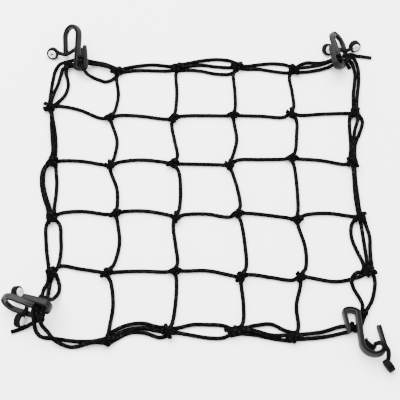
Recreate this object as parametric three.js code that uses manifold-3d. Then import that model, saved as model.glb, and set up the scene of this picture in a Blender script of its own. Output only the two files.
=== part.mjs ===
// A knotted elastic cargo net, five meshes by five, lying flat, with an open plastic hook
// lashed into each corner and a keeper strap pushed through each hook.
// Millimetres, +Z up. Tables are laid out from the middle of the net: x right, y away.

import * as THREE from 'three';
import { mergeVertices } from 'three/addons/utils/BufferGeometryUtils.js';
import Module from 'manifold-3d';

const wasm = await Module();
wasm.setup();

// Driving dimensions.
const meshSize = 76;
const knotsAcross = 6;
const cordDiameter = 5;
const cordSides = 4;
const pieceGap = 0.35;
const netClearance = 0.1;

const knotTurns = 2;
const knotSides = 6;
const knotSquash = 0.8;
const knotFloor = 0.3;
const knotOffset = 1.5;
const strandLift = 4.9;
const strandSpacing = 5;

const hookBightStart = 47.5;
const hookBightRadius = 13;
const hookReturnTip = 34;
const hookReturnSpacing = 15.5;
const hookReturnLean = 3;
const hookTurnDepth = 4;
const hookTurnStart = 6;
const hookPointTip = 21;
const hookPointLean = 3;
const hookGrooveDepth = 0.9;
const hookGrooveWidth = 2.2;

const cupDiameter = 15.5;
const cupDepth = 6;
const cupRecess = 1.2;
const strapWidth = 5;
const strapThickness = 3.4;
const eyeletDiameter = 12;
const eyeletHole = 3;
const eyeletHeight = 2.6;
const roundSides = 12;

const cordMaterial = { color: 0x17171a, roughness: 0.85, metalness: 0 };
const hookMaterial = { color: 0x2b2b2e, roughness: 0.45, metalness: 0 };
const rubberMaterial = { color: 0x1d1d20, roughness: 0.6, metalness: 0 };
const eyeletMaterial = { color: 0xe6e2d4, roughness: 0.35, metalness: 0.1 };

// How far each knot lies off an even grid of meshes, right and away, and the slant of its
// turns in degrees. One line for each row of knots, the far row first, left knot first.
const knotRows = [
  { right: [2, -2, 2, 8, 8, 2], away: [6, -9, -2, 0, -6, 12], slant: [0, 35, 30, 20, 150, 0] },
  { right: [-13, -9, -2, 0, 0, 7], away: [9, -7, -8, -3, 0, 0], slant: [170, 45, 60, 35, 120, 80] },
  { right: [-3, -5, -2, -6, -3, -2], away: [1, -4, -1, -3, 7, 0], slant: [70, 130, 50, 110, 40, 165] },
  { right: [3, 5, 3, 3, -1, 1], away: [-3, 3, -2, 3, -5, -2], slant: [100, 60, 120, 45, 30, 70] },
  { right: [9, -2, 3, 5, 0, 5], away: [-2, -1, 2, -6, -5, 1], slant: [110, 65, 40, 75, 95, 20] },
  { right: [-1, 3, -4, -6, -12, -19], away: [15, -9, 2, 2, -5, 10], slant: [0, 50, 140, 20, 35, 0] },
];

// Bow of each single line inside the net, a span at a time, left of its run positive:
// near its start, at its middle and near its end. Rows run right and columns run towards
// the near side.
const innerBowStations = [0.15, 0.5, 0.85];
const innerRows = [
  [[5, 4, -3], [4, 3, -1], [3, 2, 0], [-1, -3, -6], [-3, -1, 0]],
  [[3, 4, 1], [5, 7, 3], [0, 0, 0], [6, 3, 0], [0, 0, -3]],
  [[6, 6, 0], [4, 6, 3], [3, 2, -4], [2, 2, 1], [6, 7, 2]],
  [[10, 6, 2], [1, 1, -1], [1, 4, 1], [3, -1, -5], [-3, -10, -6]],
];
const innerColumns = [
  [[0, 6, 5], [3, 9, 5], [0, 5, 3], [4, 10, 7], [5, 7, 2]],
  [[-1, 2, 2], [-2, 2, 6], [7, 8, 5], [-3, 0, 3], [3, 5, 4]],
  [[-5, -1, 2], [2, 7, 3], [2, 5, 5], [4, 7, 7], [2, 8, 10]],
  [[-6, -1, 3], [7, 7, 5], [3, 4, 3], [2, 8, 7], [1, -1, 4]],
];

// Strands of the border between two knots, given as [column, row], outermost left of the run
// first, with their bows at four stations. A strand marked over lies on its neighbours.
const borderBowStations = [0.15, 0.38, 0.62, 0.85];
const borderSpans = [
  { from: [1, 0], to: [2, 0], strands: [{ bow: [6, 8, 8, 4] }, { bow: [0, 0, -2, -4] }] },
  {
    from: [2, 0],
    to: [3, 0],
    strands: [{ bow: [7, 11, 13, 11] }, { bow: [2, 4, 1, -1] }, { bow: [-4, -6, -11, -12] }],
  },
  { from: [3, 0], to: [4, 0], strands: [{ bow: [2, 6, 9, 8] }, { bow: [-3, -2, -4, -5] }] },
  {
    from: [5, 1],
    to: [5, 2],
    strands: [{ bow: [11, 8, 3, 3] }, { bow: [4, 1, 0, 0], over: true }, { bow: [-6, -5, -3, -3] }],
  },
  { from: [5, 2], to: [5, 3], strands: [{ bow: [2, 1, 1, 1] }, { bow: [-1, -2, -3, -3], over: true }] },
  {
    from: [5, 3],
    to: [5, 4],
    strands: [{ bow: [6, 8, 6, 5] }, { bow: [0, 0, 0, 0] }, { bow: [-12, -14, -10, -5] }],
  },
  {
    from: [1, 5],
    to: [2, 5],
    strands: [{ bow: [11, 15, 14, 7] }, { bow: [5, 9, 8, 2] }, { bow: [0, 5, 2, -6] }],
  },
  { from: [2, 5], to: [3, 5], strands: [{ bow: [4, 8, 8, 7] }, { bow: [-2, -5, -8, -8] }] },
  {
    from: [3, 5],
    to: [4, 5],
    strands: [{ bow: [5, 10, 13, 7] }, { bow: [1, 1, -2, -1], over: true }, { bow: [-2, -2, -4, -5] }],
  },
  { from: [0, 1], to: [0, 2], strands: [{ bow: [3, 5, 6, 5] }, { bow: [2, 2, 2, 2], over: true }] },
  {
    from: [0, 2],
    to: [0, 3],
    strands: [{ bow: [5, 6, 5, 3] }, { bow: [-8, -10, -7, -2], over: true }, { bow: [-12, -13, -10, -5] }],
  },
  { from: [0, 3], to: [0, 4], strands: [{ bow: [10, 11, 11, 8] }, { bow: [-7, -7, -6, -4] }] },
];

// How each hook lies: where the shank starts, the way its shank points, its rise and its
// roll about the shank, in degrees.
const hooks = {
  far_left: { at: [-171, 179, 6], heading: 86, rise: 29, roll: -37 },
  far_right: { at: [185, 173, 19], heading: 104, rise: 6, roll: -133 },
  near_left: { at: [-170, -175, 29], heading: 159, rise: 1, roll: -80 },
  near_right: { at: [177, -161, 4], heading: -90, rise: 13, roll: -7 },
};

// Cords that pass through a hook's eye. before and after are points [x, y, z] on the
// table's side of the net, from the knot that the cord leaves to the knot that it reaches.
// through lists points in the hook's own directions: along, across and over.
const throughEye = (along, side) => [
  [along, 0.5, -7.1 * side], [along, -5.6, -6.1 * side], [along, -8, 0],
  [along, -10.4, 6 * side], [along, -14.6, 7.2 * side],
];
const pastEye = (along) => [[along, -8, -9], [along, -8, 0], [along, -8, 9]];
const cornerCords = [
  {
    hook: 'far_left',
    before: [[-204, 123, 2], [-203, 155, 2], [-202, 168, 2], [-200, 183, 3], [-193, 192, 6]],
    through: throughEye(17.5, 1),
    after: [[-156, 194, 11], [-145, 197, 3], [-132, 194, 2], [-116, 186, 2]],
  },
  {
    hook: 'far_left',
    before: [[-202, 121, 7], [-198, 144, 6], [-194, 158, 6], [-192, 174, 4], [-188, 186, 5]],
    through: throughEye(12.5, 1),
    after: [[-156, 190, 10], [-144, 192, 5], [-132, 188, 6], [-116, 181, 6]],
  },
  {
    hook: 'far_left',
    before: [[-198, 125, 3], [-188, 137, 2], [-183, 146, 2], [-181, 160, 2], [-184, 179, 5]],
    through: throughEye(7.5, 1),
    after: [[-157, 174, 10], [-150, 172, 4], [-140, 168, 2], [-131, 165, 2], [-122, 169, 2], [-114, 178, 3]],
  },
  {
    hook: 'far_right',
    before: [[124, 188, 2], [130, 193, 2], [140, 197, 2], [155, 196, 2], [168, 198, 4]],
    through: throughEye(13, -1).reverse(),
    after: [[196, 198, 6], [201, 193, 3], [203, 178, 2], [201, 162, 2], [198, 144, 2], [196, 118, 2]],
  },
  {
    hook: 'far_right',
    before: [[124, 180, 2], [143, 182, 2], [157, 185, 2], [170, 189, 4]],
    through: throughEye(7.5, -1).reverse(),
    after: [[199, 200, 10], [205, 199, 4], [208, 187, 2], [207, 165, 2], [203, 142, 4], [200, 118, 4]],
  },
  {
    hook: 'near_left',
    before: [[-185, -116, 3], [-185, -127, 2], [-188, -136, 5], [-188, -148, 14]],
    through: pastEye(17.5),
    after: [
      [-195, -182, 6], [-193, -189, 2], [-186, -195, 2], [-170, -197, 2], [-148, -200, 2],
      [-128, -200, 2], [-114, -197, 2],
    ],
  },
  {
    hook: 'near_left',
    before: [[-180, -118, 4], [-182, -129, 2], [-182, -138, 6], [-181, -151, 16]],
    through: pastEye(12.5),
    after: [
      [-186, -183, 6], [-180, -189, 4], [-171, -200, 7], [-161, -205, 4], [-149, -207, 2],
      [-128, -203, 6], [-114, -202, 3],
    ],
  },
  {
    hook: 'near_left',
    before: [[-176, -116, 3], [-171, -130, 2], [-171, -140, 3], [-175, -153, 14]],
    through: pastEye(7.5),
    after: [[-190, -177, 10], [-197, -183, 6], [-204, -187, 4], [-212, -188, 2], [-222, -189, 2]],
  },
  {
    hook: 'near_right',
    before: [
      [195, -112, 5], [188, -114, 3], [181, -114, 2], [175, -121, 5], [173, -128, 7],
      [176, -136, 2], [183, -151, 2], [184, -159, 2],
    ],
    through: throughEye(16, 1),
    after: [[158, -182, 4], [150, -184, 2], [138, -188, 2], [124, -191, 4], [103, -193, 4]],
  },
  {
    hook: 'near_right',
    before: [[198, -112, 2], [201, -120, 2], [201, -130, 2], [196, -149, 2], [188, -163, 2]],
    through: throughEye(21.5, 1).slice(0, 3),
    after: [[166, -189, 5], [159, -190, 2], [147, -193, 2], [130, -196, 2], [102, -198, 2]],
  },
];
const looseEnds = [
  {
    hook: 'far_right',
    points: [
      [124, 184, 6], [143, 187, 6], [157, 190, 6], [170, 193, 10], [180, 190, 16],
      [188, 197, 17], [198, 204, 11], [208, 208, 3], [217, 207, 2], [228, 205, 2],
    ],
  },
  { hook: 'far_right', points: [[187, 197, 9], [193, 194, 4], [197, 187, 2]] },
];

// Lashings that bind the cords beside each hook: middle, the way the lashed cords run,
// length and girth.
const lashings = [
  { at: [-183, 190, 7], along: [1, 0.1, 0.05], length: 13, girth: 12 },
  { at: [178, 193, 11], along: [1, -0.2, 0.5], length: 15, girth: 13 },
  { at: [-188, -175, 17], along: [0.2, 0.5, 1], length: 19, girth: 14 },
  { at: [186, -166, 4.5], along: [0.4, 1, 0], length: 10, girth: 8 },
];

// Keepers: where each cup's middle lies and the way its open face looks, and the points
// that the strap passes between the two.
const keepers = {
  far_left: {
    cups: [
      { at: [-205, 209, 7], faces: [-0.15, -0.85, 0.5] },
      { at: [-169, 215, 7], faces: [0.2, 0.85, 0.5] },
    ],
    strap: [[-198, 209, 9], [-191, 204, 12], [-186, 202, 14], [-180, 206, 13], [-175, 213, 10]],
  },
  far_right: {
    cups: [
      { at: [206, 221, 7], faces: [0.4, -0.75, 0.5] },
      { at: [169, 216, 7], faces: [0.5, -0.6, 0.6] },
    ],
    strap: [[198, 214, 10], [191, 209, 13], [184, 210, 14], [178, 215, 12], [173, 218, 9]],
  },
  near_left: {
    cups: [
      { at: [-218, -142, 7.5], faces: [0.9, -0.1, 0.4] },
      { at: [-212, -177, 7.5], faces: [0.85, -0.3, 0.4] },
    ],
    strap: [[-222, -147, 8], [-214, -152, 12], [-205, -159, 13], [-205, -165, 12], [-209, -171, 10]],
  },
  near_right: {
    cups: [
      { at: [190, -203, 7], faces: [0.6, 0.6, 0.5] },
      { at: [207, -230, 7.5], faces: [0.8, 0.5, 0.2] },
    ],
    strap: [
      [191, -207, 10], [194, -207, 15], [197, -208, 19], [201, -211, 20], [205, -216, 18],
      [206, -220, 14], [206, -224, 10],
    ],
  },
};

const up = new THREE.Vector3(0, 0, 1);
const toVector = ([x, y, z]) => new THREE.Vector3(x, y, z);

// Geometry to solid and back.
function toSolid(geometry) {
  const bare = new THREE.BufferGeometry();
  bare.setAttribute('position', geometry.getAttribute('position'));
  bare.setIndex(geometry.getIndex());
  const merged = mergeVertices(bare, 1e-4);
  const vertProperties = new Float32Array(merged.getAttribute('position').array);
  const triVerts = new Uint32Array(merged.getIndex().array);
  return new wasm.Manifold(new wasm.Mesh({ numProp: 3, vertProperties, triVerts }));
}

function toGeometry(solid) {
  const mesh = solid.getMesh();
  const geometry = new THREE.BufferGeometry();
  geometry.setAttribute('position', new THREE.BufferAttribute(mesh.vertProperties, 3));
  geometry.setIndex(new THREE.BufferAttribute(mesh.triVerts, 1));
  geometry.computeVertexNormals();
  return geometry;
}

const joined = (solids) => solids.reduce((whole, solid) => whole.add(solid));

// Closed body through rings of points that all share one outline.
function loft(rings, outline) {
  const count = outline.length;
  const positions = rings.flat().flatMap((point) => point.toArray());
  const faces = [];
  for (let ring = 0; ring < rings.length - 1; ring += 1) {
    for (let side = 0; side < count; side += 1) {
      const here = ring * count + side;
      const beside = ring * count + ((side + 1) % count);
      faces.push(here, beside, beside + count);
      faces.push(here, beside + count, here + count);
    }
  }
  const last = (rings.length - 1) * count;
  for (const [a, b, c] of THREE.ShapeUtils.triangulateShape(outline, [])) {
    faces.push(c, b, a);
    faces.push(last + a, last + b, last + c);
  }
  const geometry = new THREE.BufferGeometry();
  geometry.setAttribute('position', new THREE.Float32BufferAttribute(positions, 3));
  geometry.setIndex(faces);
  return geometry;
}

// Smooth run through points, with the given number of steps between each two of them.
function smoothRun(points, steps = 1) {
  const curve = new THREE.CatmullRomCurve3(points, false, 'centripetal');
  const count = (points.length - 1) * steps;
  return Array.from({ length: count + 1 }, (_, index) => curve.getPoint(index / count));
}

// Outline carried along a run, its second direction kept as upright as the run allows.
function sweep(run, outline) {
  const rings = run.map((point, index) => {
    const before = run[Math.max(index - 1, 0)];
    const after = run[Math.min(index + 1, run.length - 1)];
    const forward = after.clone().sub(before).normalize();
    const side = up.clone().cross(forward).normalize();
    const over = forward.clone().cross(side);
    return outline.map(({ x, y }) => point.clone().addScaledVector(side, x).addScaledVector(over, y));
  });
  return loft(rings, outline);
}

// A cord's section has the area of the round cord and a flat underside.
const cordCentreAngle = (2 * Math.PI) / cordSides;
const cordAreaRatio = (2 * Math.PI) / (cordSides * Math.sin(cordCentreAngle));
const cordCorner = (cordDiameter / 2) * Math.sqrt(cordAreaRatio);
const cordRest = cordCorner * Math.cos(cordCentreAngle / 2) + netClearance;
const cordOutline = Array.from({ length: cordSides }, (_, corner) => {
  const turn = cordCentreAngle * (corner + 0.5) - Math.PI / 2;
  return new THREE.Vector2(cordCorner * Math.cos(turn), cordCorner * Math.sin(turn));
});

function cordSolid(points, steps = 1) {
  const run = smoothRun(points, steps);
  for (const point of run) {
    point.z = Math.max(point.z, cordRest);
  }
  return toSolid(sweep(run, cordOutline));
}

function knotPlace(column, row) {
  const { right, away } = knotRows[row];
  const half = (knotsAcross - 1) / 2;
  const x = (column - half) * meshSize + right[column];
  const y = (half - row) * meshSize + away[column];
  return new THREE.Vector3(x, y, cordRest);
}

// Points of one span between two knots, without its last knot.
function spanPoints(start, end, stations, bows, height) {
  const left = up.clone().cross(end.clone().sub(start)).normalize();
  const between = stations.map((station, index) => {
    const point = start.clone().lerp(end, station).addScaledVector(left, bows[index]);
    point.z = height;
    return point;
  });
  return [start, ...between];
}

function innerLine(knots, spans) {
  const points = spans.flatMap((bows, index) => (
    spanPoints(knots[index], knots[index + 1], innerBowStations, bows, cordRest)));
  return cordSolid([...points, knots[knots.length - 1]]);
}

function innerLines() {
  const steps = Array.from({ length: knotsAcross }, (_, index) => index);
  const rows = innerRows.map((spans, index) => (
    innerLine(steps.map((column) => knotPlace(column, index + 1)), spans)));
  const columns = innerColumns.map((spans, index) => {
    const knots = steps.map((row) => knotPlace(index + 1, row));
    for (const knot of knots) {
      knot.z += strandLift / 2;
    }
    return innerLine(knots, spans);
  });
  return [...rows, ...columns];
}

// The strands of one span run side by side into the knots at its ends.
function borderStrands() {
  return borderSpans.flatMap(({ from, to, strands }) => {
    const run = knotPlace(...to).sub(knotPlace(...from));
    const left = up.clone().cross(run).normalize();
    return strands.map(({ bow, over = false }, index) => {
      const lane = ((strands.length - 1) / 2 - index) * strandSpacing;
      const height = over ? strandLift : 0;
      const start = knotPlace(...from).addScaledVector(left, lane);
      const end = knotPlace(...to).addScaledVector(left, lane);
      start.z += height;
      end.z += height;
      const own = bow.map((value) => value - lane);
      return cordSolid([...spanPoints(start, end, borderBowStations, own, cordRest + height), end]);
    });
  });
}

// Bound knot: a short barrel whose girth swells once for each turn of cord around it.
function boundKnot(at, along, length, girth) {
  const forward = along.clone().normalize();
  const side = up.clone().cross(forward).normalize();
  const over = forward.clone().cross(side);
  const bands = knotTurns * 2;
  const outline = Array.from({ length: knotSides }, (_, corner) => {
    const turn = (2 * Math.PI * (corner + 0.5)) / knotSides;
    return new THREE.Vector2(Math.cos(turn), Math.sin(turn));
  });
  const rings = Array.from({ length: bands + 1 }, (_, band) => {
    const place = band / bands - 0.5;
    const swell = band % 2 === 1 ? 1 : 0.78;
    const taper = band === 0 || band === bands ? 0.5 : 1 - 0.5 * place * place;
    const radius = (girth / 2) * swell * taper;
    return outline.map(({ x, y }) => {
      const point = at.clone().addScaledVector(forward, place * length);
      point.addScaledVector(side, x * radius).addScaledVector(over, y * radius * knotSquash);
      point.z = Math.max(point.z, knotFloor);
      return point;
    });
  });
  return toSolid(loft(rings, outline));
}

function knots() {
  const solids = [];
  for (let row = 0; row < knotsAcross; row += 1) {
    for (let column = 0; column < knotsAcross; column += 1) {
      const corner = (row % (knotsAcross - 1) === 0) && (column % (knotsAcross - 1) === 0);
      const edge = (row % (knotsAcross - 1) === 0) || (column % (knotsAcross - 1) === 0);
      if (!corner) {
        const slant = THREE.MathUtils.degToRad(knotRows[row].slant[column]);
        const along = new THREE.Vector3(Math.cos(slant), Math.sin(slant), 0);
        const girth = edge ? 12.5 : 11;
        const at = knotPlace(column, row).setZ(girth * 0.36);
        at.y -= knotOffset;
        solids.push(boundKnot(at, along, girth * 1.15, girth));
      }
    }
  }
  return solids;
}

// A hook's own directions: along the shank, across towards its point, and over its face.
function hookFrame({ at, heading, rise, roll }) {
  const turn = THREE.MathUtils.degToRad(heading);
  const lift = THREE.MathUtils.degToRad(rise);
  const lean = THREE.MathUtils.degToRad(roll);
  const along = new THREE.Vector3(Math.cos(turn), Math.sin(turn), 0).multiplyScalar(Math.cos(lift));
  along.z = Math.sin(lift);
  const level = new THREE.Vector3(-Math.sin(turn), Math.cos(turn), 0);
  const raised = along.clone().cross(level);
  const across = level.clone().multiplyScalar(Math.cos(lean)).addScaledVector(raised, Math.sin(lean));
  const over = along.clone().cross(across);
  return new THREE.Matrix4().makeBasis(along, across, over).setPosition(...at);
}

// Stations of the hook's centre line: along, across, the way it runs, its thickness in the
// hook's plane and its width.
function hookStations() {
  const stations = [];
  const add = (along, across, runs, thick, wide) => stations.push({ along, across, runs, thick, wide });
  const turnCentre = -hookReturnSpacing / 2;
  const returnSlant = Math.atan2(hookReturnLean, hookReturnTip - hookTurnStart);
  const addReturn = (short, thick, wide) => {
    const inward = (hookReturnTip - short - hookTurnStart) * Math.tan(returnSlant);
    add(hookReturnTip - short, inward - hookReturnSpacing, Math.PI + returnSlant, thick, wide);
  };
  addReturn(0, 1.6, 4.6);
  addReturn(3, 2.6, 5.8);
  addReturn(14, 3.8, 6.6);
  for (let step = 0; step <= 4; step += 1) {
    const turn = (Math.PI * step) / 4;
    const along = hookTurnStart - hookTurnDepth * Math.sin(turn);
    const across = turnCentre - (hookReturnSpacing / 2) * Math.cos(turn);
    add(along, across, Math.PI - turn, 4.6 + step * 0.4, 7.4);
  }
  add(hookBightStart * 0.4, 0, 0, 6.3, 6.6);
  add(hookBightStart * 0.75, 0, 0, 6.5, 6.6);
  for (let step = 0; step <= 7; step += 1) {
    const turn = (Math.PI * step) / 7;
    const along = hookBightStart + hookBightRadius * Math.sin(turn);
    const across = hookBightRadius * (1 - Math.cos(turn));
    add(along, across, turn, 6.8 - step * 0.28, 6.6 - step * 0.16);
  }
  const lean = Math.atan2(hookPointLean, hookBightStart - hookPointTip);
  const pointSide = 2 * hookBightRadius;
  add((hookBightStart + hookPointTip) / 2, pointSide - hookPointLean / 2, Math.PI + lean, 4.4, 5.3);
  add(hookPointTip + 2, pointSide - hookPointLean, Math.PI + lean, 4.6, 5.3);
  add(hookPointTip, pointSide - hookPointLean, Math.PI + lean, 3.2, 4.6);
  return stations;
}

// The band has a groove down each broad face. Where grow swells it for clearance it is plain.
function hookOutline(thick, wide, grow) {
  const depth = Math.min(hookGrooveDepth, thick * 0.2);
  const half = Math.min(hookGrooveWidth / 2, thick * 0.2);
  const x = thick / 2 + grow;
  const y = wide / 2 + grow;
  if (grow > 0) {
    return [[x, -y], [x, y], [-x, y], [-x, -y]].map(([a, b]) => new THREE.Vector2(a, b));
  }
  const points = [[x, -y], [x, y], [half, y], [0, y - depth], [-half, y], [-x, y], [-x, -y],
    [-half, -y], [0, depth - y], [half, -y]];
  return points.map(([a, b]) => new THREE.Vector2(a, b));
}

function hookGeometry(grow = 0) {
  const stations = hookStations();
  const first = stations[0];
  const last = stations[stations.length - 1];
  const rings = stations.map((station) => {
    const ends = (station === first ? -grow : 0) + (station === last ? grow : 0);
    const runAlong = Math.cos(station.runs);
    const runAcross = Math.sin(station.runs);
    return hookOutline(station.thick, station.wide, grow).map(({ x, y }) => new THREE.Vector3(
      station.along + runAlong * ends + runAcross * x,
      station.across + runAcross * ends - runAlong * x,
      -y,
    ));
  });
  return loft(rings, hookOutline(first.thick, first.wide, grow));
}

function cupFrame({ at, faces }) {
  const turn = new THREE.Quaternion().setFromUnitVectors(up, toVector(faces).normalize());
  return new THREE.Matrix4().compose(toVector(at), turn, new THREE.Vector3(1, 1, 1));
}

function lathed(profile, frame) {
  const points = profile.map(([radius, height]) => new THREE.Vector2(radius, height));
  return new THREE.LatheGeometry(points, roundSides).rotateX(Math.PI / 2).applyMatrix4(frame);
}

function cupGeometry(cup, grow = 0) {
  const radius = cupDiameter / 2 + grow;
  const top = cupDepth / 2 + grow;
  return lathed([[0, -top], [radius - 1, -top], [radius, 1 - top], [radius, top], [0, top]], cupFrame(cup));
}

// The pocket that seats a cup's eyelet, open upwards.
function pocketGeometry(cup) {
  const radius = eyeletDiameter / 2 + pieceGap;
  const floor = cupDepth / 2 - cupRecess;
  const above = cupDepth;
  return lathed([[0, floor], [radius, floor], [radius, above], [0, above]], cupFrame(cup));
}

function eyeletGeometry(cup) {
  const base = cupDepth / 2 - cupRecess + pieceGap;
  const outer = eyeletDiameter / 2;
  const inner = eyeletHole / 2;
  const crown = base + eyeletHeight;
  const profile = [[inner, base], [outer, base], [outer, base + 1], [outer * 0.7, crown],
    [inner + 0.6, crown - 0.3], [inner, base]];
  return lathed(profile, cupFrame(cup));
}

function keeperSolid({ cups, strap }, grow = 0) {
  const halfWide = strapWidth / 2 + grow;
  const halfThick = strapThickness / 2 + grow;
  const outline = [[1, -1], [1, 1], [-1, 1], [-1, -1]].map(([x, y]) => (
    new THREE.Vector2(x * halfWide, y * halfThick)));
  const inset = cups.map(({ at, faces }) => (
    toVector(at).addScaledVector(toVector(faces).normalize(), -1.6)));
  const run = smoothRun([inset[0], ...strap.map(toVector), inset[1]], 2);
  const bodies = cups.map((cup) => toSolid(cupGeometry(cup, grow)));
  const whole = joined([toSolid(sweep(run, outline)), ...bodies]);
  return cups.reduce((left, cup) => left.subtract(toSolid(pocketGeometry(cup))), whole);
}

// A keeper as it rests: the rims of its cups are flat where they stand on the table.
function restingKeeper(keeper) {
  const under = keeper.cups.map((cup) => {
    const block = new THREE.BoxGeometry(4 * cupDiameter, 4 * cupDiameter, cupDiameter);
    return toSolid(block.translate(cup.at[0], cup.at[1], -cupDiameter / 2));
  });
  return under.reduce((left, block) => left.subtract(block), keeperSolid(keeper));
}

function cornerStrands() {
  const passing = cornerCords.map(({ hook, before, through, after }) => {
    const frame = hookFrame(hooks[hook]);
    const inside = through.map((point) => toVector(point).applyMatrix4(frame));
    return cordSolid([...before.map(toVector), ...inside, ...after.map(toVector)]);
  });
  const ends = looseEnds.map(({ points }) => cordSolid(points.map(toVector)));
  return [...passing, ...ends];
}

// The whole net is one fused body, cleared by the pieces that it holds.
function netSolid() {
  const bound = lashings.map(({ at, along, length, girth }) => (
    boundKnot(toVector(at), toVector(along), length, girth)));
  let net = joined([...innerLines(), ...borderStrands(), ...knots(), ...cornerStrands(), ...bound]);
  for (const hook of Object.values(hooks)) {
    net = net.subtract(toSolid(hookGeometry(pieceGap).applyMatrix4(hookFrame(hook))));
  }
  for (const keeper of Object.values(keepers)) {
    net = net.subtract(keeperSolid(keeper, pieceGap));
  }
  const parts = net.decompose().sort((a, b) => b.volume() - a.volume());
  return parts[0];
}

function namedMesh(name, geometry, look) {
  const mesh = new THREE.Mesh(geometry, new THREE.MeshStandardMaterial(look));
  mesh.name = name;
  return mesh;
}

const lying = new THREE.Group();
lying.add(namedMesh('net', toGeometry(netSolid()), cordMaterial));
for (const [corner, hook] of Object.entries(hooks)) {
  const mesh = namedMesh(`hook_${corner}`, toGeometry(toSolid(hookGeometry())), hookMaterial);
  mesh.applyMatrix4(hookFrame(hook));
  lying.add(mesh);
}
for (const [corner, keeper] of Object.entries(keepers)) {
  lying.add(namedMesh(`keeper_${corner}`, toGeometry(restingKeeper(keeper)), rubberMaterial));
  keeper.cups.forEach((cup, index) => {
    const name = `eyelet_${corner}_${index + 1}`;
    lying.add(namedMesh(name, toGeometry(toSolid(eyeletGeometry(cup))), eyeletMaterial));
  });
}

// The origin is under the middle of everything, on the table.
const box = new THREE.Box3().setFromObject(lying, true);
const middle = box.getCenter(new THREE.Vector3());
lying.position.set(-middle.x, -middle.y, -box.min.z);

const cargoNet = new THREE.Group();
cargoNet.add(lying);

export default cargoNet;
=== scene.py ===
import math
import bmesh
import bpy
from mathutils import Matrix, Vector


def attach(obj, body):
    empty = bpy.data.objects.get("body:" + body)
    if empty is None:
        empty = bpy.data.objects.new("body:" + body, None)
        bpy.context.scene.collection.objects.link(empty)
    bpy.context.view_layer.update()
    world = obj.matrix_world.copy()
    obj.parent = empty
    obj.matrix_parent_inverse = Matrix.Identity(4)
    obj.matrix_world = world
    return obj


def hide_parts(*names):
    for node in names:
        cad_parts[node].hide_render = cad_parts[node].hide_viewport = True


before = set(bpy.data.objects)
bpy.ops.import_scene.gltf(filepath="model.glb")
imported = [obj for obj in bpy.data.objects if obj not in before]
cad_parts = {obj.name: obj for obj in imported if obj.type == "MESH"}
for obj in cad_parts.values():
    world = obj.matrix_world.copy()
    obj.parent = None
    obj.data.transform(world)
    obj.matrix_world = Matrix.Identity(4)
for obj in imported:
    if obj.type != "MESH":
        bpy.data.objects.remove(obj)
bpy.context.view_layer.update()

mm = 0.001
fromTableToFrame = Vector((1.35, -1.52, 0))  # the tables start from the middle of the net
up = Vector((0, 0, 1))

# Camera, floor and light.

studio = {
    'eye': (-5.174, -557.340, 978.404),
    'target': (-5.174, -14.364, 0),
    'lens': 81,
    'sensor': 36,
    'floorSize': 6,
    'floorColour': (0.96, 0.96, 0.96, 1),
    'skyStrength': 2.6,
    'keyPower': 250,
    'keySize': 3,
    'keyPlace': (-0.5, 0.8, 2),
}


def inFrame(point):
    return (Vector(point) + fromTableToFrame) * mm


def setCamera():
    data = bpy.data.cameras.new('studioCamera')
    data.lens = studio['lens']
    data.sensor_width = studio['sensor']
    data.clip_start = 0.01
    data.clip_end = 50
    camera = bpy.data.objects.new('studioCamera', data)
    bpy.context.scene.collection.objects.link(camera)
    camera.location = inFrame(studio['eye'])
    look = inFrame(studio['target']) - camera.location
    camera.rotation_euler = look.to_track_quat('-Z', 'Y').to_euler()
    bpy.context.scene.camera = camera


def setLight():
    world = bpy.data.worlds.new('studioSky')
    world.use_nodes = True
    sky = world.node_tree.nodes['Background']
    sky.inputs['Color'].default_value = (1, 1, 1, 1)
    sky.inputs['Strength'].default_value = studio['skyStrength']
    bpy.context.scene.world = world
    data = bpy.data.lights.new('keyLight', 'AREA')
    data.shape = 'DISK'
    data.size = studio['keySize']
    data.energy = studio['keyPower']
    light = bpy.data.objects.new('keyLight', data)
    bpy.context.scene.collection.objects.link(light)
    light.location = studio['keyPlace']
    light.rotation_euler = (-light.location).to_track_quat('-Z', 'Y').to_euler()


# Nodes written as sums.

class Wire:  # one output socket; sums on it add Math nodes
    def __init__(self, maker, socket):
        self.maker = maker
        self.socket = socket

    def other(self, name):
        return Wire(self.maker, self.socket.node.outputs[name])

    def maths(self, operation, *others):
        return self.maker.maths(operation, self, *others)

    def __add__(self, value):
        return self.maths('ADD', value)

    def __sub__(self, value):
        return self.maths('SUBTRACT', value)

    def __rsub__(self, value):
        return self.maker.maths('SUBTRACT', value, self)

    def __mul__(self, value):
        return self.maths('MULTIPLY', value)

    def __truediv__(self, value):
        return self.maths('DIVIDE', value)

    def __rtruediv__(self, value):
        return self.maker.maths('DIVIDE', value, self)

    def __pow__(self, value):
        return self.maths('POWER', value)

    def __gt__(self, value):
        return self.maths('GREATER_THAN', value)

    def __lt__(self, value):
        return self.maths('LESS_THAN', value)

    __radd__ = __add__
    __rmul__ = __mul__


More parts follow.
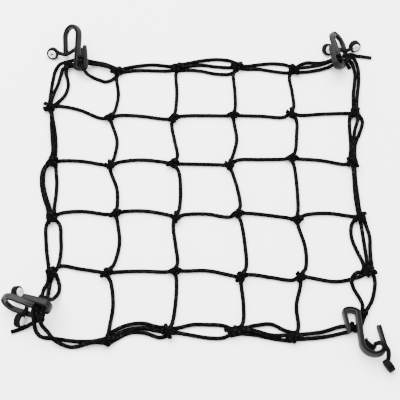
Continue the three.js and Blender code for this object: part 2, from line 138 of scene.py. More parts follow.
class Maker:  # adds nodes to one tree
    def __init__(self, tree):
        self.tree = tree

    def node(self, kind, settings=None, sockets=None, output=None):
        made = self.tree.nodes.new(kind)
        for name, value in (settings or {}).items():
            setattr(made, name, value)
        for key, value in (sockets or {}).items():
            place = self.pick(made.inputs, key)
            if isinstance(value, Wire):
                self.tree.links.new(value.socket, place)
            else:
                place.default_value = value
        return Wire(self, self.pick(made.outputs, output)) if len(made.outputs) else made

    def pick(self, sockets, key):
        if isinstance(key, int):
            return sockets[key]
        shown = [socket for socket in sockets if socket.enabled and key in (None, socket.name)]
        return shown[0]

    def maths(self, operation, *values):
        return self.node('ShaderNodeMath', {'operation': operation}, dict(enumerate(values)))

    def blend(self, factor, first, second):
        return self.node('ShaderNodeMix', {'data_type': 'RGBA'}, {'Factor': factor, 'A': first, 'B': second})

    def mix(self, factor, first, second):
        return factor * second + (1 - factor) * first

    def noise(self, place, scale, detail=2, roughness=0.5):
        return self.node('ShaderNodeTexNoise', {}, {
            'Vector': place, 'Scale': scale, 'Detail': detail, 'Roughness': roughness}, 'Fac')

    def objectPlace(self):
        return self.node('ShaderNodeTexCoord', output='Object')


def newFinish(name, fixed, build):
    material = bpy.data.materials.new(name)
    material.use_nodes = True
    tree = material.node_tree
    tree.nodes.clear()
    maker = Maker(tree)
    surface = maker.node('ShaderNodeBsdfPrincipled', {}, fixed)
    maker.node('ShaderNodeOutputMaterial', {}, {'Surface': surface})
    for socketName, value in build(maker).items():
        tree.links.new(value.socket, surface.socket.node.inputs[socketName])
    return material


def newTree(name, inputs):
    tree = bpy.data.node_groups.new(name, 'GeometryNodeTree')
    tree.interface.new_socket(name='Geometry', in_out='INPUT', socket_type='NodeSocketGeometry')
    for label, (kind, value) in inputs.items():
        item = tree.interface.new_socket(name=label, in_out='INPUT', socket_type=kind)
        if value is not None:
            item.default_value = value
    tree.interface.new_socket(name='Geometry', in_out='OUTPUT', socket_type='NodeSocketGeometry')
    return tree, Maker(tree)


# Runs a tree on an object and keeps what comes out as a plain mesh.
def grown(name, source, tree, values):
    modifier = source.modifiers.new('grow', 'NODES')
    modifier.node_group = tree
    for item in tree.interface.items_tree:
        if item.item_type == 'SOCKET' and item.in_out == 'INPUT' and item.name in values:
            modifier[item.identifier] = values[item.name]
    depsgraph = bpy.context.evaluated_depsgraph_get()
    mesh = bpy.data.meshes.new_from_object(source.evaluated_get(depsgraph))
    source.modifiers.remove(modifier)
    bpy.data.objects.remove(source)
    mesh.name = name
    piece = bpy.data.objects.new(name, mesh)
    bpy.context.scene.collection.objects.link(piece)
    return piece

# Finishes.

cordFinish = {
    'yarnsEachWay': 8,
    'pitch': 9.0,
    # dark and light are shaded and lit copies of the cord's colour: painted shade between the yarns, painted
    # light on their crowns
    'dark': (0.0002, 0.0002, 0.00025, 1),
    'light': (0.0022, 0.0022, 0.0025, 1),
    'fleck': (0.02, 0.02, 0.0215, 1),
    'fleckShare': 0.08,
    'bump': 0.4,
}


def makeCordFinish():
    s = cordFinish

    def build(maker):
        place = maker.node('ShaderNodeUVMap', {'uv_map': 'UVMap'})
        split = maker.node('ShaderNodeSeparateXYZ', {}, {0: place}, 'X')
        turns = split * s['yarnsEachWay']
        steps = split.other('Y') * (s['yarnsEachWay'] / (s['pitch'] * mm))
        right = turns + steps
        left = turns - steps
        rightYarn = right.maths('FLOOR')
        leftYarn = left.maths('FLOOR')
        onTop = (rightYarn + leftYarn).maths('FLOORED_MODULO', 2)
        rightCrown = ((right - rightYarn) * math.pi).maths('SINE')
        leftCrown = ((left - leftYarn) * math.pi).maths('SINE')
        crown = maker.mix(onTop, rightCrown, leftCrown)
        cell = maker.node('ShaderNodeCombineXYZ', {}, {0: rightYarn, 1: leftYarn})
        chance = maker.node('ShaderNodeTexWhiteNoise', {'noise_dimensions': '2D'}, {'Vector': cell}, 'Value')
        fleck = (chance > 1 - s['fleckShare']) * crown
        wear = maker.noise(maker.objectPlace(), 60, 3)
        # Painted shade: each yarn is lighter on its crown and darker in the creases between yarns; the wear
        # noise adds random tone.
        creaseShadeAndWear = (crown * 0.7 + wear * 0.5).maths('MULTIPLY', 0.85)
        colour = maker.blend(fleck, maker.blend(creaseShadeAndWear, s['dark'], s['light']), s['fleck'])
        bump = maker.node('ShaderNodeBump', {}, {'Height': crown, 'Strength': s['bump'], 'Distance': 0.0004})
        return {'Base Color': colour, 'Roughness': 0.9 - crown * 0.2, 'Normal': bump}

    return newFinish('braidedElastic', {'Specular IOR Level': 0.01}, build)


plasticFinish = {
    'dark': (0.005, 0.005, 0.0053, 1),
    'light': (0.013, 0.013, 0.0136, 1),
    # painted shade colour, laid into the hook's grooves and onto its inner side
    'paintedShadeColour': (0.0006, 0.0006, 0.0007, 1),
    'specular': 0.1,
    'roughness': 0.34,
    'grain': 900,
    'bump': 0.08,
}


def makePlasticFinish(name, s):
    def build(maker):
        place = maker.objectPlace()
        flow = maker.noise(place, 35, 3, 0.6)
        grain = maker.noise(place, s['grain'], 2)
        colour = maker.blend(flow, s['dark'], s['light'])
        # Painted shade: the hook's grooves and inner side are blended towards the painted shade colour.
        if 'paintedShadeColour' in s:
            grooveAndInnerShade = maker.node('ShaderNodeAttribute', {'attribute_name': 'grooveAndInnerShade'}, output='Fac')
            colour = maker.blend(grooveAndInnerShade, colour, s['paintedShadeColour'])
        bump = maker.node('ShaderNodeBump', {}, {'Height': grain, 'Strength': s['bump'], 'Distance': 0.0003})
        return {'Base Color': colour, 'Roughness': s['roughness'] + flow * 0.18, 'Normal': bump}

    return newFinish(name, {'Specular IOR Level': s['specular']}, build)


rubberFinish = {
    'dark': (0.0006, 0.0006, 0.0007, 1),
    'light': (0.003, 0.003, 0.0032, 1),
    'specular': 0.03,
    'roughness': 0.5,
    'grain': 1400,
    'bump': 0.12,
}
eyeletFinish = {
    'dark': (0.5, 0.48, 0.4, 1),
    'light': (0.8, 0.79, 0.72, 1),
    'specular': 0.5,
    'roughness': 0.25,
    'grain': 700,
    'bump': 0.03,
}


def makeFloorFinish():
    def build(maker):
        tone = maker.noise(maker.objectPlace(), 0.4, 1)
        return {'Roughness': 0.55 + tone * 0.1}

    return newFinish('paleFloor', {'Base Color': studio['floorColour'], 'Specular IOR Level': 0.2}, build)


# Shapes that the pieces share.

def newPiece(name, mesh, material, angle=40):
    bm = bmesh.new()
    bm.from_mesh(mesh)
    bmesh.ops.remove_doubles(bm, verts=bm.verts, dist=0.00001)
    bmesh.ops.recalc_face_normals(bm, faces=bm.faces)
    bm.to_mesh(mesh)
    bm.free()
    mesh.materials.clear()
    mesh.materials.append(material)
    mesh.shade_smooth()
    mesh.set_sharp_from_angle(angle=math.radians(angle))
    piece = bpy.data.objects.new(name, mesh)
    bpy.context.scene.collection.objects.link(piece)
    return piece


# Closed skin over rings of the same number of points.
def addSkin(verts, faces, rings):
    base = len(verts)
    count = len(rings[0])
    for ring in rings:
        verts.extend(ring)
    for ring in range(len(rings) - 1):
        for side in range(count):
            here = base + ring * count + side
            beside = base + ring * count + (side + 1) % count
            faces.append((here, beside, beside + count, here + count))
    faces.append(tuple(base + side for side in reversed(range(count))))
    last = base + (len(rings) - 1) * count
    faces.append(tuple(last + side for side in range(count)))


def addLathe(verts, faces, profile, place, segments=40):
    base = len(verts)
    for radius, height in profile:
        for segment in range(segments):
            turn = 2 * math.pi * segment / segments
            point = place @ Vector((radius * math.cos(turn), radius * math.sin(turn), height))
            verts.append(point)
    for ring in range(len(profile) - 1):
        for segment in range(segments):
            here = base + ring * segments + segment
            beside = base + ring * segments + (segment + 1) % segments
            faces.append((here, beside, beside + segments, here + segments))


# A smooth curve through all the points, cut into steps of about the given length.
def smoothRun(points, step):
    curve = []
    ends = [points[0] * 2 - points[1]] + list(points) + [points[-1] * 2 - points[-2]]
    for index in range(1, len(ends) - 2):
        before, start, end, after = ends[index - 1:index + 3]
        count = max(1, round((end - start).length / step))
        for part in range(count):
            t = part / count
            reach = (end - start).length
            leave = (end - before) * (reach / max((end - start).length + (start - before).length, 1e-6))
            arrive = (after - start) * (reach / max((end - start).length + (after - end).length, 1e-6))
            curve.append(start * (2 * t ** 3 - 3 * t ** 2 + 1) + leave * (t ** 3 - 2 * t ** 2 + t)
                         + end * (3 * t ** 2 - 2 * t ** 3) + arrive * (t ** 3 - t ** 2))
    curve.append(points[-1])
    return curve


def sweepRings(run, outline):
    rings = []
    for index, point in enumerate(run):
        forward = (run[min(index + 1, len(run) - 1)] - run[max(index - 1, 0)]).normalized()
        side = up.cross(forward).normalized()
        over = forward.cross(side)
        rings.append([point + side * x + over * y for x, y in outline])
    return rings


# The net.

cord = {
    'diameter': 5,
    'sides': 12,
    'step': 1.8,
    'meshSize': 76,
    'knotsAcross': 6,
    'lift': 4.9,
    'laneSpacing': 5,
}
knot = {
    'turns': 2.2,
    'innerGirth': 12.5,
    'borderGirth': 14,
    'squash': 0.62,
    'offset': 1.5,
    'lengthPerGirth': 1.15,
    'lashingTurns': 2.4,
    'pointsPerTurn': 10,
}
cordRest = cord['diameter'] / 2

knotRows = [
    {'right': [2, -2, 2, 8, 8, 2], 'away': [6, -9, -2, 0, -6, 12], 'slant': [0, 35, 30, 20, 150, 0]},
    {'right': [-13, -9, -2, 0, 0, 7], 'away': [9, -7, -8, -3, 0, 0], 'slant': [170, 45, 60, 35, 120, 80]},
    {'right': [-3, -5, -2, -6, -3, -2], 'away': [1, -4, -1, -3, 7, 0], 'slant': [70, 130, 50, 110, 40, 165]},
    {'right': [3, 5, 3, 3, -1, 1], 'away': [-3, 3, -2, 3, -5, -2], 'slant': [100, 60, 120, 45, 30, 70]},
    {'right': [9, -2, 3, 5, 0, 5], 'away': [-2, -1, 2, -6, -5, 1], 'slant': [110, 65, 40, 75, 95, 20]},
    {'right': [-1, 3, -4, -6, -12, -19], 'away': [15, -9, 2, 2, -5, 10], 'slant': [0, 50, 140, 20, 35, 0]},
]

# Bow of each single line inside the net, a span at a time, left of its run positive:
# near its start, at its middle and near its end. Rows run right and columns run towards
# the near side.
innerBowStations = [0.15, 0.5, 0.85]
innerRows = [
    [[5, 4, -3], [4, 3, -1], [3, 2, 0], [-1, -3, -6], [-3, -1, 0]],
    [[3, 4, 1], [5, 7, 3], [0, 0, 0], [6, 3, 0], [0, 0, -3]],
    [[6, 6, 0], [4, 6, 3], [3, 2, -4], [2, 2, 1], [6, 7, 2]],
    [[10, 6, 2], [1, 1, -1], [1, 4, 1], [3, -1, -5], [-3, -10, -6]],
]
innerColumns = [
    [[0, 6, 5], [3, 9, 5], [0, 5, 3], [4, 10, 7], [5, 7, 2]],
    [[-1, 2, 2], [-2, 2, 6], [7, 8, 5], [-3, 0, 3], [3, 5, 4]],
    [[-5, -1, 2], [2, 7, 3], [2, 5, 5], [4, 7, 7], [2, 8, 10]],
    [[-6, -1, 3], [7, 7, 5], [3, 4, 3], [2, 8, 7], [1, -1, 4]],
]

# Strands of the border between two knots, given as [column, row], outermost left of the run
# first, with their bows at four stations. A strand marked over lies on its neighbours.
borderBowStations = [0.15, 0.38, 0.62, 0.85]
borderSpans = [
    {'from': [1, 0], 'to': [2, 0], 'strands': [{'bow': [6, 8, 8, 4]}, {'bow': [0, 0, -2, -4]}]},
    {
        'from': [2, 0],
        'to': [3, 0],
        'strands': [{'bow': [7, 11, 13, 11]}, {'bow': [2, 4, 1, -1]}, {'bow': [-4, -6, -11, -12]}],
    },
    {'from': [3, 0], 'to': [4, 0], 'strands': [{'bow': [2, 6, 9, 8]}, {'bow': [-3, -2, -4, -5]}]},
    {
        'from': [5, 1],
        'to': [5, 2],
        'strands': [{'bow': [11, 8, 3, 3]}, {'bow': [4, 1, 0, 0], 'over': True}, {'bow': [-6, -5, -3, -3]}],
    },
    {
        'from': [5, 2],
        'to': [5, 3],
        'strands': [{'bow': [2, 1, 1, 1]}, {'bow': [-1, -2, -3, -3], 'over': True}],
    },
    {
        'from': [5, 3],
        'to': [5, 4],
        'strands': [{'bow': [6, 8, 6, 5]}, {'bow': [0, 0, 0, 0]}, {'bow': [-12, -14, -10, -5]}],
    },
    {
        'from': [1, 5],
        'to': [2, 5],
        'strands': [{'bow': [11, 15, 14, 7]}, {'bow': [5, 9, 8, 2]}, {'bow': [0, 5, 2, -6]}],
    },
    {'from': [2, 5], 'to': [3, 5], 'strands': [{'bow': [4, 8, 8, 7]}, {'bow': [-2, -5, -8, -8]}]},
    {
        'from': [3, 5],
        'to': [4, 5],
        'strands': [
            {'bow': [5, 10, 13, 7]}, {'bow': [1, 1, -2, -1], 'over': True},
            {'bow': [-2, -2, -4, -5]},
        ],
    },
    {'from': [0, 1], 'to': [0, 2], 'strands': [{'bow': [3, 5, 6, 5]}, {'bow': [2, 2, 2, 2], 'over': True}]},
    {
        'from': [0, 2],
        'to': [0, 3],
        'strands': [
            {'bow': [5, 6, 5, 3]}, {'bow': [-8, -10, -7, -2], 'over': True},
            {'bow': [-12, -13, -10, -5]},
        ],
    },
    {'from': [0, 3], 'to': [0, 4], 'strands': [{'bow': [10, 11, 11, 8]}, {'bow': [-7, -7, -6, -4]}]},
]

# How each hook lies: where the shank starts, the way its shank points, its rise and its
# roll about the shank, in degrees.


def braidedTree():
    tree, maker = newTree('braidedCord', {
        'Diameter': ('NodeSocketFloat', 0.005),
        'Sides': ('NodeSocketInt', 12),
        'Step': ('NodeSocketFloat', 0.0018),
        'Finish': ('NodeSocketMaterial', None),
    })
    given = maker.node('NodeGroupInput', output='Geometry')
    run = maker.node('GeometryNodeResampleCurve', {'mode': 'LENGTH'}, {
        'Curve': given, 'Length': given.other('Step')})
    run = maker.node('GeometryNodeSetCurveNormal', {'mode': 'Z_UP'}, {'Curve': run})
    length = maker.node('GeometryNodeSplineParameter', output='Length')
    run = maker.node('GeometryNodeStoreNamedAttribute', {'data_type': 'FLOAT', 'domain': 'POINT'}, {
        'Geometry': run, 'Name': 'along', 'Value': length})
    section = maker.node('GeometryNodeCurvePrimitiveCircle', {'mode': 'RADIUS'}, {
        'Resolution': given.other('Sides'), 'Radius': given.other('Diameter') * 0.5})
    section = maker.node('GeometryNodeTransform', {}, {'Geometry': section, 'Rotation': (0, 0, math.pi / 2)})
    turn = maker.node('GeometryNodeSplineParameter', output='Factor')
    section = maker.node('GeometryNodeStoreNamedAttribute', {'data_type': 'FLOAT', 'domain': 'POINT'}, {
        'Geometry': section, 'Name': 'around', 'Value': turn})
    skin = maker.node('GeometryNodeCurveToMesh', {}, {
        'Curve': run, 'Profile Curve': section, 'Fill Caps': True})
    around = maker.node('GeometryNodeInputNamedAttribute', {'data_type': 'FLOAT'}, {'Name': 'around'})
    along = maker.node('GeometryNodeInputNamedAttribute', {'data_type': 'FLOAT'}, {'Name': 'along'})
    place = maker.node('ShaderNodeCombineXYZ', {}, {0: around, 1: along})
    skin = maker.node('GeometryNodeStoreNamedAttribute', {'data_type': 'FLOAT2', 'domain': 'CORNER'}, {
        'Geometry': skin, 'Name': 'UVMap', 'Value': place})
    skin = maker.node('GeometryNodeRemoveAttribute', {}, {'Geometry': skin, 'Name': 'around'})
    skin = maker.node('GeometryNodeRemoveAttribute', {}, {'Geometry': skin, 'Name': 'along'})
    skin = maker.node('GeometryNodeRealizeInstances', {}, {'Geometry': skin})
    skin = maker.node('GeometryNodeSetMaterial', {}, {'Geometry': skin, 'Material': given.other('Finish')})
    maker.node('NodeGroupOutput', {}, {'Geometry': skin})
    return tree


def knotPlace(column, row):
    line = knotRows[row]
    half = (cord['knotsAcross'] - 1) / 2
    return Vector(((column - half) * cord['meshSize'] + line['right'][column],
                   (half - row) * cord['meshSize'] + line['away'][column], cordRest))


def spanPoints(start, end, stations, bows, height):
    left = up.cross(end - start).normalized()
    points = [start.copy()]
    for station, bow in zip(stations, bows):
        point = start.lerp(end, station) + left * bow
        point.z = height
        points.append(point)
    return points


def innerLine(knots, spans):
    points = []
    for index, bows in enumerate(spans):
        points += spanPoints(knots[index], knots[index + 1], innerBowStations, bows, cordRest)
    return points + [knots[-1]]


def innerLines():
    steps = range(cord['knotsAcross'])
    lines = [innerLine([knotPlace(column, row + 1) for column in steps], spans)
             for row, spans in enumerate(innerRows)]
    for column, spans in enumerate(innerColumns):
        knots = [knotPlace(column + 1, row) for row in steps]
        for place in knots:
            place.z += cord['lift'] / 2
        lines.append(innerLine(knots, spans))
    return lines


def borderStrands():
    lines = []
    for span in borderSpans:
        start = knotPlace(*span['from'])
        end = knotPlace(*span['to'])
        left = up.cross(end - start).normalized()
        for index, strand in enumerate(span['strands']):
            lane = ((len(span['strands']) - 1) / 2 - index) * cord['laneSpacing']
            height = cord['lift'] if strand.get('over') else 0
            shift = left * lane + up * height
            bows = [bow - lane for bow in strand['bow']]
            points = spanPoints(start + shift, end + shift, borderBowStations, bows, cordRest + height)
            lines.append(points + [end + shift])
    return lines


# A cord wound round a bundle that runs along a direction through a middle point.
def winding(at, along, length, girth, turns):
    forward = along.normalized()
    side = up.cross(forward).normalized()
    over = forward.cross(side)
    wide = girth / 2 - cordRest
    high = wide * knot['squash']
    pitch = (length - cord['diameter']) / turns
    count = round(turns * knot['pointsPerTurn'])
    points = []
    for index in range(count + 1):
        turn = 2 * math.pi * turns * index / count
        push = pitch * turns * (index / count - 0.5)
        points.append(at + forward * push + side * (wide * math.cos(turn)) + over * (high * math.sin(turn)))
    return points


# The tuck lies over the winding from one end of it to the other.
def tuck(at, along, length, girth):
    forward = along.normalized()
    side = up.cross(forward).normalized()
    wide = girth / 2 - cordRest
    reach = length / 2 - 1
    rise = wide * knot['squash'] + cord['diameter'] * 0.55
    spots = [
        (-1, 0.9, 0.1), (-0.75, 0.7, 0.7), (-0.2, 0.25, 1),
        (0.3, -0.3, 1), (0.75, -0.7, 0.65), (1, -0.95, 0.1),
    ]
    return [at + forward * (reach * a) + side * (wide * b) + up * (rise * c) for a, b, c in spots]


def knotCords():
    lines = []
    last = cord['knotsAcross'] - 1
    for row in range(cord['knotsAcross']):
        for column in range(cord['knotsAcross']):
            edge = row in (0, last) or column in (0, last)
            if row in (0, last) and column in (0, last):
                continue
            slant = math.radians(knotRows[row]['slant'][column])
            along = Vector((math.cos(slant), math.sin(slant), 0))
            girth = knot['borderGirth'] if edge else knot['innerGirth']
            at = knotPlace(column, row)
            at.y -= knot['offset']
            at.z = cordRest + (girth / 2 - cordRest) * knot['squash']
            length = girth * knot['lengthPerGirth']
            lines.append(winding(at, along, length, girth, knot['turns']))
            lines.append(tuck(at, along, length, girth))
    return lines


# The hooks.

hookShape = {
    'bightStart': 47.5,
    'bightRadius': 13,
    'returnTip': 34,
    'returnSpacing': 16,
    'returnLean': 3,
    'turnDepth': 4,
    'turnStart': 6,
    'turnSteps': 16,
    'eyeWidth': 7.4,
    'shankSteps': 10,
    'shankWidth': 6.6,
    'bightSteps': 36,
    'bightThickness': 6.8,
    'bightTaper': 1.1,
    'pointSteps': 10,
    'pointTip': 21,
    'pointLean': 3,
    'grooveDepth': 1.3,
    'edgeRound': 0.7,
    'innerShade': 0.75,
}
# The return leg's length from its tip, thickness and width.
returnTaper = [
    (0, 2, 4.2), (0.7, 2.8, 5), (3, 3.5, 5.8), (8, 4.2, 6.2), (14, 4.7, 6.6), (21, 5, 7),
    (27, 5.2, 7.3),
]

hooks = {
    'far_left': {'at': [-171, 180.5, 6], 'heading': 86, 'rise': 29, 'roll': -37},
    'far_right': {'at': [185, 173, 19], 'heading': 104, 'rise': 6, 'roll': -133},
    'near_left': {'at': [-173, -175, 29], 'heading': 159, 'rise': 1, 'roll': -80},
    'near_right': {'at': [177, -161, 4], 'heading': -90, 'rise': 13, 'roll': -7},
}

# Cords that pass through a hook's eye. before and after are points [x, y, z] on the
# table's side of the net, from the knot that the cord leaves to the knot that it reaches.
# through lists points in the hook's own directions: along, across and over.


def throughEye(along, side):
    return [
        [along, 0.5, -7.1 * side], [along, -5.6, -6.1 * side], [along, -8, 0],
        [along, -10.4, 6 * side], [along, -14.6, 7.2 * side],
    ]


def pastEye(along):
    return [[along, -8, -9], [along, -8, 0], [along, -8, 9]]


cornerCords = [
    {
        'hook': 'far_left',
        'before': [[-204, 123, 2], [-203, 155, 2], [-202, 168, 2], [-200, 183, 3], [-193, 192, 6]],
        'through': throughEye(17.5, 1),
        'after': [[-156, 194, 11], [-145, 197, 3], [-132, 194, 2], [-116, 186, 2]],
    },
    {
        'hook': 'far_left',
        'before': [[-202, 121, 7], [-198, 144, 6], [-194, 158, 6], [-192, 174, 4], [-188, 186, 5]],
        'through': throughEye(12.5, 1),
        'after': [[-156, 190, 10], [-144, 192, 5], [-132, 188, 6], [-116, 181, 6]],
    },
    {
        'hook': 'far_left',
        'before': [
            [-198, 125, 3], [-188, 137, 2], [-183, 146, 2], [-181, 160, 2], [-185, 180, 5],
            [-182, 186, 8],
        ],
        'through': throughEye(7.5, 1),
        'after': [
            [-157, 174, 10], [-150, 172, 4], [-140, 168, 2], [-131, 165, 2], [-122, 169, 2],
            [-114, 178, 3],
        ],
    },
    {
        'hook': 'far_right',
        'before': [[124, 188, 2], [130, 193, 2], [140, 197, 2], [155, 196, 2], [168, 198, 4]],
        'through': throughEye(13, -1)[::-1],
        'after': [[196, 198, 6], [201, 193, 3], [203, 178, 2], [201, 162, 2], [198, 144, 2], [196, 118, 2]],
    },
    {
        'hook': 'far_right',
        'before': [[124, 180, 2], [143, 182, 2], [157, 185, 2], [170, 189, 4]],
        'through': throughEye(7.5, -1)[::-1],
        'after': [[199, 200, 10], [205, 199, 4], [208, 187, 2], [207, 165, 2], [203, 142, 4], [200, 118, 4]],
    },
    {
        'hook': 'near_left',
        'before': [[-185, -116, 3], [-185, -127, 2], [-188, -136, 5], [-188, -148, 14]],
        'through': pastEye(17.5),
        'after': [
            [-195, -182, 6], [-193, -189, 2], [-186, -195, 2], [-170, -197, 2], [-148, -200, 2],
            [-128, -200, 2], [-114, -197, 2],
        ],
    },
    {
        'hook': 'near_left',
        'before': [[-180, -118, 4], [-182, -129, 2], [-182, -138, 6], [-181, -151, 16]],
        'through': pastEye(12.5),
        'after': [
            [-186, -183, 6], [-180, -189, 4], [-171, -200, 7], [-161, -205, 4], [-149, -207, 2],
            [-128, -203, 6], [-114, -202, 3],
        ],
    },
    {
        'hook': 'near_left',
        'before': [[-176, -116, 3], [-171, -130, 2], [-171, -140, 3], [-175, -153, 14]],
        'through': pastEye(7.5),
        'after': [[-190, -176, 10], [-197, -179, 6], [-205, -183, 4], [-213, -186, 2], [-222, -189, 2]],
    },
    {
        'hook': 'near_right',
        'before': [
            [195, -112, 5], [188, -114, 3], [181, -114, 2], [175, -121, 5], [173, -128, 7],
            [176, -136, 2], [183, -151, 2], [184, -159, 2],
        ],
        'through': throughEye(20, 1)[:3],
        'after': [
            [167, -182, 3], [158, -182, 2], [150, -184, 2], [138, -188, 2], [124, -191, 4],
            [103, -193, 4],
        ],
    },
    {
        'hook': 'near_right',
        'before': [[198, -112, 2], [201, -120, 2], [201, -130, 2], [196, -149, 2], [188, -163, 2]],
        'through': throughEye(25.5, 1)[:3],
        'after': [[166, -189, 5], [159, -190, 2], [147, -193, 2], [130, -196, 2], [102, -198, 2]],
    },
]
looseEnds = [
    {
        'hook': 'far_right',
        'points': [
            [124, 184, 6], [143, 187, 6], [157, 190, 6], [170, 193, 10], [180, 190, 16],
            [188, 197, 17], [198, 204, 11], [208, 208, 3], [217, 207, 2], [228, 205, 2],
        ],
    },
    {'hook': 'far_right', 'points': [[187, 197, 9], [193, 194, 4], [197, 187, 2]]},
]

# Lashings that bind the cords beside each hook: middle, the way the lashed cords run,
# length and girth.
lashings = [
    {'at': [-183, 190, 7], 'along': [1, 0.1, 0.05], 'length': 13, 'girth': 12},
    {'at': [178, 193, 11], 'along': [1, -0.2, 0.5], 'length': 15, 'girth': 13},
    {'at': [-188, -175, 17], 'along': [0.2, 0.5, 1], 'length': 19, 'girth': 14},
    {'at': [186, -166, 4.5], 'along': [0.4, 1, 0], 'length': 10, 'girth': 8},
]

# Keepers: where each cup's middle lies and the way its open face looks, and the points
# that the strap passes between the two.
keepers = {
    'far_left': {
        'cups': [
            {'at': [-205, 209, 7], 'faces': [-0.15, -0.85, 0.5]},
            {'at': [-169, 215, 7], 'faces': [0.2, 0.85, 0.5]},
        ],
        'strap': [[-198, 209, 9], [-191, 204, 12], [-186, 202, 14], [-180, 206, 13], [-175, 213, 10]],
    },
    'far_right': {
        'cups': [
            {'at': [206, 221, 7], 'faces': [0.35, -0.85, 0.25]},
            {'at': [169, 216, 7], 'faces': [0.5, -0.6, 0.6]},
        ],
        'strap': [[198, 214, 10], [191, 209, 13], [184, 210, 14], [178, 215, 12], [173, 218, 9]],
    },
    'near_left': {
        'cups': [
            {'at': [-218, -142, 7.5], 'faces': [0.9, -0.1, 0.4]},
            {'at': [-212, -177, 7.5], 'faces': [0.95, -0.25, 0.15]},
        ],
        'strap': [[-222, -147, 8], [-214, -152, 12], [-205, -159, 13], [-205, -165, 12], [-209, -171, 10]],
    },
    'near_right': {
        'cups': [
            {'at': [187.5, -205, 7], 'faces': [0.6, 0.6, 0.5]},
            {'at': [207, -230, 7.5], 'faces': [0.8, 0.5, 0.2]},
        ],
        'strap': [
            [191, -207, 10], [194, -207, 15], [197, -208, 19], [201, -211, 20], [205, -216, 18],
            [206, -220, 14], [206, -224, 10],
        ],
    },
}


def hookFrame(hook):
    heading, rise, roll = (math.radians(hook[key]) for key in ('heading', 'rise', 'roll'))
    along = Vector((math.cos(heading) * math.cos(rise), math.sin(heading) * math.cos(rise), math.sin(rise)))
    level = Vector((-math.sin(heading), math.cos(heading), 0))
    across = level * math.cos(roll) + along.cross(level) * math.sin(roll)
    over = along.cross(across)
    return Matrix((
        (along.x, across.x, over.x, hook['at'][0]),
        (along.y, across.y, over.y, hook['at'][1]),
        (along.z, across.z, over.z, hook['at'][2]),
        (0, 0, 0, 1)))


# Stations down the middle of the hook's band: along, across, the way it runs, thickness, width.
def hookStations():
    s = hookShape
    spacing = s['returnSpacing']
    slant = math.atan2(s['returnLean'], s['returnTip'] - s['turnStart'])
    stations = []
    for short, thick, wide in returnTaper:
        along = s['returnTip'] - short
        inward = (along - s['turnStart']) * math.tan(slant)
        stations.append((along, inward - spacing, math.pi + slant, thick, wide))
    for step in range(s['turnSteps'] + 1):
        turn = math.pi * step / s['turnSteps']
        along = s['turnStart'] - s['turnDepth'] * math.sin(turn)
        across = -spacing / 2 - spacing / 2 * math.cos(turn)
        stations.append((along, across, math.pi - turn, 5.2 + step * 0.07, s['eyeWidth']))
    for step in range(1, s['shankSteps']):
        along = s['turnStart'] + (s['bightStart'] - s['turnStart']) * step / s['shankSteps']
        wide = max(s['shankWidth'], s['eyeWidth'] - step * 0.4)
        stations.append((along, 0, 0, 6.2 + step * 0.06, wide))
    for step in range(s['bightSteps'] + 1):
        turn = math.pi * step / s['bightSteps']
        along = s['bightStart'] + s['bightRadius'] * math.sin(turn)
        across = s['bightRadius'] * (1 - math.cos(turn))
        thinner = s['bightTaper'] * step / s['bightSteps']
        stations.append((along, across, turn, s['bightThickness'] - thinner, s['shankWidth'] - thinner))
    lean = math.atan2(s['pointLean'], s['bightStart'] - s['pointTip'])
    for step in range(1, s['pointSteps'] + 1):
        share = step / s['pointSteps']
        stations.append((s['bightStart'] + (s['pointTip'] + 1 - s['bightStart']) * share,
                         2 * s['bightRadius'] - s['pointLean'] * share, math.pi + lean,
                         5.7 - 0.3 * math.sin(math.pi * share), 5.5 - 0.2 * share))
    stations.append((s['pointTip'] + 0.3, 2 * s['bightRadius'] - s['pointLean'], math.pi + lean, 5.2, 5))
    stations.append((s['pointTip'], 2 * s['bightRadius'] - s['pointLean'], math.pi + lean, 4.2, 4.4))
    return stations


# Half thickness runs across the outline and half width up it; a groove lies on each broad face.
def hookOutline(thick, wide):
    x = thick / 2
    y = wide / 2
    bend = min(hookShape['edgeRound'], x * 0.4)
    deep = min(hookShape['grooveDepth'], thick * 0.25)
    half = [
        (x, y - bend), (x - bend * 0.3, y - bend * 0.3), (x - bend, y), (x * 0.5, y),
        (x * 0.42, y - deep), (0, y - deep),
    ]
    top = half + [(-a, b) for a, b in reversed(half[:-1])]
    return top + [(-a, -b) for a, b in top]


# How much painted shade each point of the outline takes: in a groove or on the hook's inner side.
def paintedShadeShares():
    groove = [0.2, 1, 1, 1, 0.2]
    inner = [hookShape['innerShade']] * 2
    return [0, 0, 0] + groove + [0] + inner + inner + [0] + groove + [0, 0, 0]


def makeHook(name, hook, material):
    place = hookFrame(hook)
    rings = []
    for along, across, runs, thick, wide in hookStations():
        ring = []
        for x, y in hookOutline(thick, wide):
            local = Vector((along + math.sin(runs) * x, across - math.cos(runs) * x, y))
            ring.append(inFrame(place @ local))
        rings.append(ring)
    verts = []
    faces = []
    addSkin(verts, faces, rings)
    mesh = bpy.data.meshes.new(name)
    mesh.from_pydata([tuple(v) for v in verts], [], faces)
    # This attribute holds how much painted shade each point of the hook takes.
    grooveAndInnerShade = mesh.attributes.new('grooveAndInnerShade', 'FLOAT', 'POINT')
    grooveAndInnerShade.data.foreach_set('value', paintedShadeShares() * len(rings))
    return newPiece(name, mesh, material)


# The keepers and their eyelets.

keeperShape = {
    'cupDiameter': 16,
    'cupDepth': 6,
    'cupBack': 5,
    'cupRecess': 1.2,
    'strapWidth': 5,
    'strapThickness': 3.4,
    'strapInset': 1.6,
    'eyeletDiameter': 10.6,
    'eyeletHole': 3.8,
    'eyeletHeight': 2.6,
    'gap': 0.35,
}


def cupPlace(cup):
    turn = up.rotation_difference(Vector(cup['faces']).normalized())
    return Matrix.Translation(inFrame(cup['at'])) @ turn.to_matrix().to_4x4() @ Matrix.Scale(mm, 4)


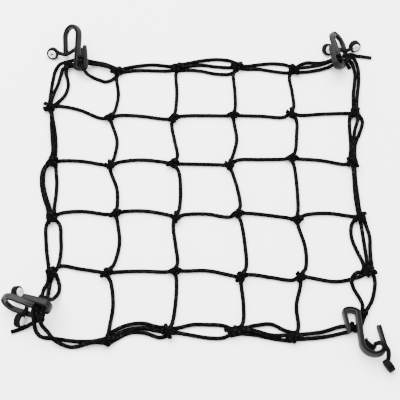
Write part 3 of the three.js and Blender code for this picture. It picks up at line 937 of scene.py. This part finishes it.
def makeKeeper(name, keeper, material):
    s = keeperShape
    radius = s['cupDiameter'] / 2
    pocket = s['eyeletDiameter'] / 2 + s['gap']
    top = s['cupDepth'] / 2
    floor = top - s['cupRecess']
    back = -s['cupBack']
    profile = [
        (0.01, back), (radius * 0.5, back), (radius - 1.4, back + 0.1), (radius - 0.5, back + 0.5),
        (radius - 0.1, back + 1.2), (radius, back + 2), (radius, top - 1.2), (radius - 0.15, top - 0.35),
        (radius - 0.5, top), (pocket + 0.2, top), (pocket, top - 0.25), (pocket, floor), (0.01, floor),
    ]
    verts = []
    faces = []
    for cup in keeper['cups']:
        addLathe(verts, faces, profile, cupPlace(cup))
    inset = [
        Vector(cup['at']) - Vector(cup['faces']).normalized() * s['strapInset']
        for cup in keeper['cups']]
    run = smoothRun([inset[0]] + [Vector(point) for point in keeper['strap']] + [inset[1]], 1)
    x = s['strapWidth'] / 2
    y = s['strapThickness'] / 2
    outline = [
        (x, -y * 0.5), (x, y * 0.5), (x * 0.88, y * 0.85), (x * 0.6, y),
        (-x * 0.6, y), (-x * 0.88, y * 0.85), (-x, y * 0.5), (-x, -y * 0.5),
        (-x * 0.88, -y * 0.85), (-x * 0.6, -y), (x * 0.6, -y), (x * 0.88, -y * 0.85),
    ]
    addSkin(verts, faces, [[inFrame(point) for point in ring] for ring in sweepRings(run, outline)])
    mesh = bpy.data.meshes.new(name)
    mesh.from_pydata([(v.x, v.y, max(v.z, 0)) for v in verts], [], faces)
    return newPiece(name, mesh, material)


def makeEyelet(name, cup, material):
    s = keeperShape
    base = s['cupDepth'] / 2 - s['cupRecess'] + s['gap']
    outer = s['eyeletDiameter'] / 2
    inner = s['eyeletHole'] / 2
    crown = base + s['eyeletHeight']
    profile = [
        (inner * 0.8, base), (outer - 0.1, base), (outer, base + 0.2), (outer, base + 0.9),
        (outer * 0.95, base + 1.4), (outer * 0.82, crown - 0.55), (outer * 0.66, crown - 0.12),
        (outer * 0.52, crown), (outer * 0.42, crown - 0.1), (inner + 0.25, crown - 0.4),
        (inner, crown - 0.8), (inner * 0.8, base),
    ]
    verts = []
    faces = []
    addLathe(verts, faces, profile, cupPlace(cup))
    mesh = bpy.data.meshes.new(name)
    mesh.from_pydata([tuple(v) for v in verts], [], faces)
    return newPiece(name, mesh, material)


def cornerStrands():
    lines = []
    for strand in cornerCords:
        place = hookFrame(hooks[strand['hook']])
        before = [Vector(point) for point in strand['before']]
        inside = [place @ Vector(point) for point in strand['through']]
        after = [Vector(point) for point in strand['after']]
        lines.append(before + inside + after)
    for end in looseEnds:
        lines.append([Vector(point) for point in end['points']])
    return lines


def lashingCords():
    lines = []
    for lash in lashings:
        at = Vector(lash['at'])
        along = Vector(lash['along'])
        lines.append(winding(at, along, lash['length'], lash['girth'], knot['lashingTurns']))
    return lines


def makeCords(name, lines, tree, material):
    data = bpy.data.curves.new(name, 'CURVE')
    data.dimensions = '3D'
    for points in lines:
        run = smoothRun(points, 1.5)
        spline = data.splines.new('POLY')
        spline.points.add(len(run) - 1)
        for place, point in zip(spline.points, run):
            lifted = Vector((point.x, point.y, max(point.z, cordRest)))
            place.co = (*inFrame(lifted), 1)
    source = bpy.data.objects.new(name, data)
    bpy.context.scene.collection.objects.link(source)
    piece = grown(name, source, tree, {
        'Diameter': cord['diameter'] * mm, 'Sides': cord['sides'], 'Step': cord['step'] * mm,
        'Finish': material})
    piece.data.shade_smooth()
    return piece


# Making it all.

setCamera()
setLight()
print('camera and light are set')

braided = makeCordFinish()
hookPlastic = makePlasticFinish('hookPlastic', plasticFinish)
keeperRubber = makePlasticFinish('keeperRubber', rubberFinish)
eyeletPlastic = makePlasticFinish('eyeletPlastic', eyeletFinish)
tree = braidedTree()

strands = makeCords('netStrands', innerLines() + borderStrands() + cornerStrands(), tree, braided)
knots = makeCords('netKnots', knotCords() + lashingCords(), tree, braided)
for piece in (strands, knots):
    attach(piece, 'root')
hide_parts('net')
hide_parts('net')
print('the net is tied')

for corner, hook in hooks.items():
    piece = makeHook(f'{corner}_hook', hook, hookPlastic)
    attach(piece, 'root')
    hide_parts(f'hook_{corner}')
print('the hooks are on')

for corner, keeper in keepers.items():
    piece = makeKeeper(f'{corner}_keeper', keeper, keeperRubber)
    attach(piece, 'root')
    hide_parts(f'keeper_{corner}')
    for number, cup in enumerate(keeper['cups'], 1):
        piece = makeEyelet(f'{corner}_eyelet_{number}', cup, eyeletPlastic)
        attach(piece, 'root')
        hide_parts(f'eyelet_{corner}_{number}')
print('the keepers and eyelets are in')

half = studio['floorSize'] / 2
floorMesh = bpy.data.meshes.new('studioFloor')
floorCorners = [(-half, -half, 0), (half, -half, 0), (half, half, 0), (-half, half, 0)]
floorMesh.from_pydata(floorCorners, [], [(0, 1, 2, 3)])
floorMesh.materials.append(makeFloorFinish())
studioFloor = bpy.data.objects.new('studioFloor', floorMesh)
bpy.context.scene.collection.objects.link(studioFloor)
